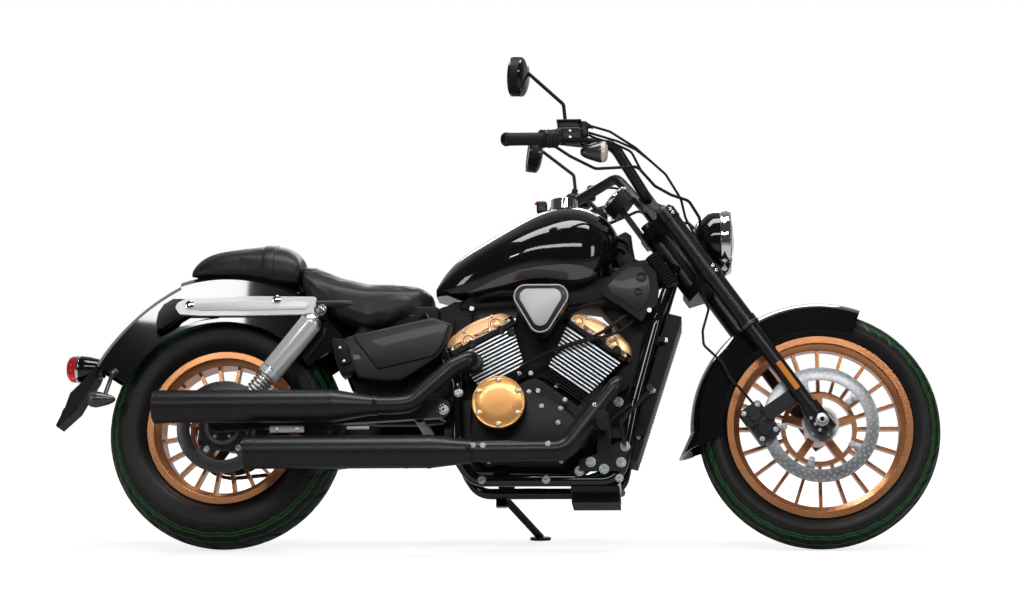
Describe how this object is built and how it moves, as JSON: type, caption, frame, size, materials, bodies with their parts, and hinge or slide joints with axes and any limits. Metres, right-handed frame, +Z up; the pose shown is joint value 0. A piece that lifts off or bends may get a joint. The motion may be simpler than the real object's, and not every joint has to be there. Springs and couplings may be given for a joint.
{
  "type": "cruiser motorcycle",
  "caption": "Cruiser motorcycle leaning on its side stand: V engine in a tube cradle, turning steering and wheels, stepped seats, two side mufflers, round headlight.",
  "frame": {"origin": "on the ground under the middle of the bounding box", "axes": "+X to the front of the motorcycle, +Y to its left, the side it leans to, +Z up"},
  "size_m": [2.4699, 0.9331, 1.3541],
  "materials": {
    "front_tyre": "matte",
    "rear_tyre": "matte",
    "front_rim": "bronze satin",
    "rear_rim": "bronze satin",
    "front_brake_disc": "ground",
    "rear_brake_disc": "ground",
    "rear_sprocket": "machined",
    "drive_chain": "oiled",
    "fork_leg_right": "satin black",
    "fork_leg_left": "satin black",
    "front_axle": "plated",
    "triple_clamps": "satin black",
    "handlebar": "satin black",
    "hand_controls_right": "matte",
    "hand_controls_left": "matte",
    "mirrors": "gloss",
    "headlight": "polished",
    "instrument_gauge": "gloss",
    "front_turn_signals": "gloss",
    "handlebar_cables": "matte",
    "front_brake_caliper": "anodised",
    "front_brake_hose": "matte",
    "front_fender": "gloss",
    "rear_fender": "gloss",
    "fender_struts": "satin",
    "backbone": "satin black",
    "cradle_right": "satin black",
    "cradle_left": "satin black",
    "seat_rails": "satin black",
    "swingarm": "satin black",
    "rear_shocks": "plated",
    "crankcase": "black wrinkle",
    "front_cylinder": "black, fin edges machined",
    "front_rocker_cover": "gold",
    "rear_cylinder": "black, fin edges machined",
    "rear_rocker_cover": "gold",
    "clutch_cover": "gold and black",
    "generator_cover": "gold and black",
    "air_cleaner": "satin",
    "radiator": "matte",
    "engine_guard": "matte",
    "upper_exhaust": "matte black",
    "lower_exhaust": "matte black",
    "fuel_tank": "gloss",
    "tank_trim": "satin",
    "fuel_cap": "polished",
    "rider_seat": "vinyl",
    "passenger_seat": "vinyl",
    "side_covers": "satin",
    "electrics_box": "matte",
    "regulator": "black",
    "frame_covers": "matte",
    "tail_lamp": "lens",
    "rear_turn_signals": "lens",
    "plate_bracket": "matte",
    "foot_controls_right": "black",
    "foot_controls_left": "black",
    "rear_brake_caliper": "anodised",
    "side_stand": "satin black"
  },
  "bodies": {
    "frame": {"drive_chain": "drive_chain", "rear_fender": "rear_fender", "fender_struts": "fender_struts", "backbone": "backbone", "cradle_right": "cradle_right", "cradle_left": "cradle_left", "seat_rails": "seat_rails", "swingarm": "swingarm", "rear_shocks": "rear_shocks", "crankcase": "crankcase", "front_cylinder": "front_cylinder", "front_rocker_cover": "front_rocker_cover", "rear_cylinder": "rear_cylinder", "rear_rocker_cover": "rear_rocker_cover", "clutch_cover": "clutch_cover", "generator_cover": "generator_cover", "air_cleaner": "air_cleaner", "radiator": "radiator", "engine_guard": "engine_guard", "upper_exhaust": "upper_exhaust", "lower_exhaust": "lower_exhaust", "fuel_tank": "fuel_tank", "tank_trim": "tank_trim", "fuel_cap": "fuel_cap", "rider_seat": "rider_seat", "passenger_seat": "passenger_seat", "side_covers": "side_covers", "electrics_box": "electrics_box", "regulator": "regulator", "frame_covers": "frame_covers", "tail_lamp": "tail_lamp", "rear_turn_signals": "rear_turn_signals", "plate_bracket": "plate_bracket", "foot_controls_right": "foot_controls_right", "foot_controls_left": "foot_controls_left", "rear_brake_caliper": "rear_brake_caliper"},
    "steering": {"fork_leg_right": "fork_leg_right", "fork_leg_left": "fork_leg_left", "front_axle": "front_axle", "triple_clamps": "triple_clamps", "handlebar": "handlebar", "hand_controls_right": "hand_controls_right", "hand_controls_left": "hand_controls_left", "mirrors": "mirrors", "headlight": "headlight", "instrument_gauge": "instrument_gauge", "front_turn_signals": "front_turn_signals", "front_brake_caliper": "front_brake_caliper", "front_fender": "front_fender", "handlebar_cables": "handlebar_cables", "front_brake_hose": "front_brake_hose"},
    "front_wheel": {"front_tyre": "front_tyre", "front_rim": "front_rim", "front_brake_disc": "front_brake_disc"},
    "rear_wheel": {"rear_tyre": "rear_tyre", "rear_rim": "rear_rim", "rear_brake_disc": "rear_brake_disc", "rear_sprocket": "rear_sprocket"},
    "side_stand": {"side_stand": "side_stand"}
  },
  "joints": [
    {"name": "steering", "type": "hinge", "parent": "frame", "child": "steering", "pos_m": [0.86369, -0.14, 0.29836], "axis": [-0.5736, 0.1843, 0.7982], "range_deg": [-35, 35]},
    {"name": "front_wheel_spin", "type": "hinge", "parent": "steering", "child": "front_wheel", "pos_m": [0.90301, -0.13381, 0.32518], "axis": [0, 0.9744, -0.225], "continuous": true},
    {"name": "rear_wheel_spin", "type": "hinge", "parent": "frame", "child": "rear_wheel", "pos_m": [-0.74899, -0.13341, 0.3269], "axis": [0, 0.9744, -0.225], "continuous": true},
    {"name": "side_stand_fold", "type": "hinge", "parent": "frame", "child": "side_stand", "pos_m": [0.01701, -0.0186, 0.13516], "axis": [-0.0248, 0.7436, 0.6682], "range_deg": [0, 112]}
  ]
}
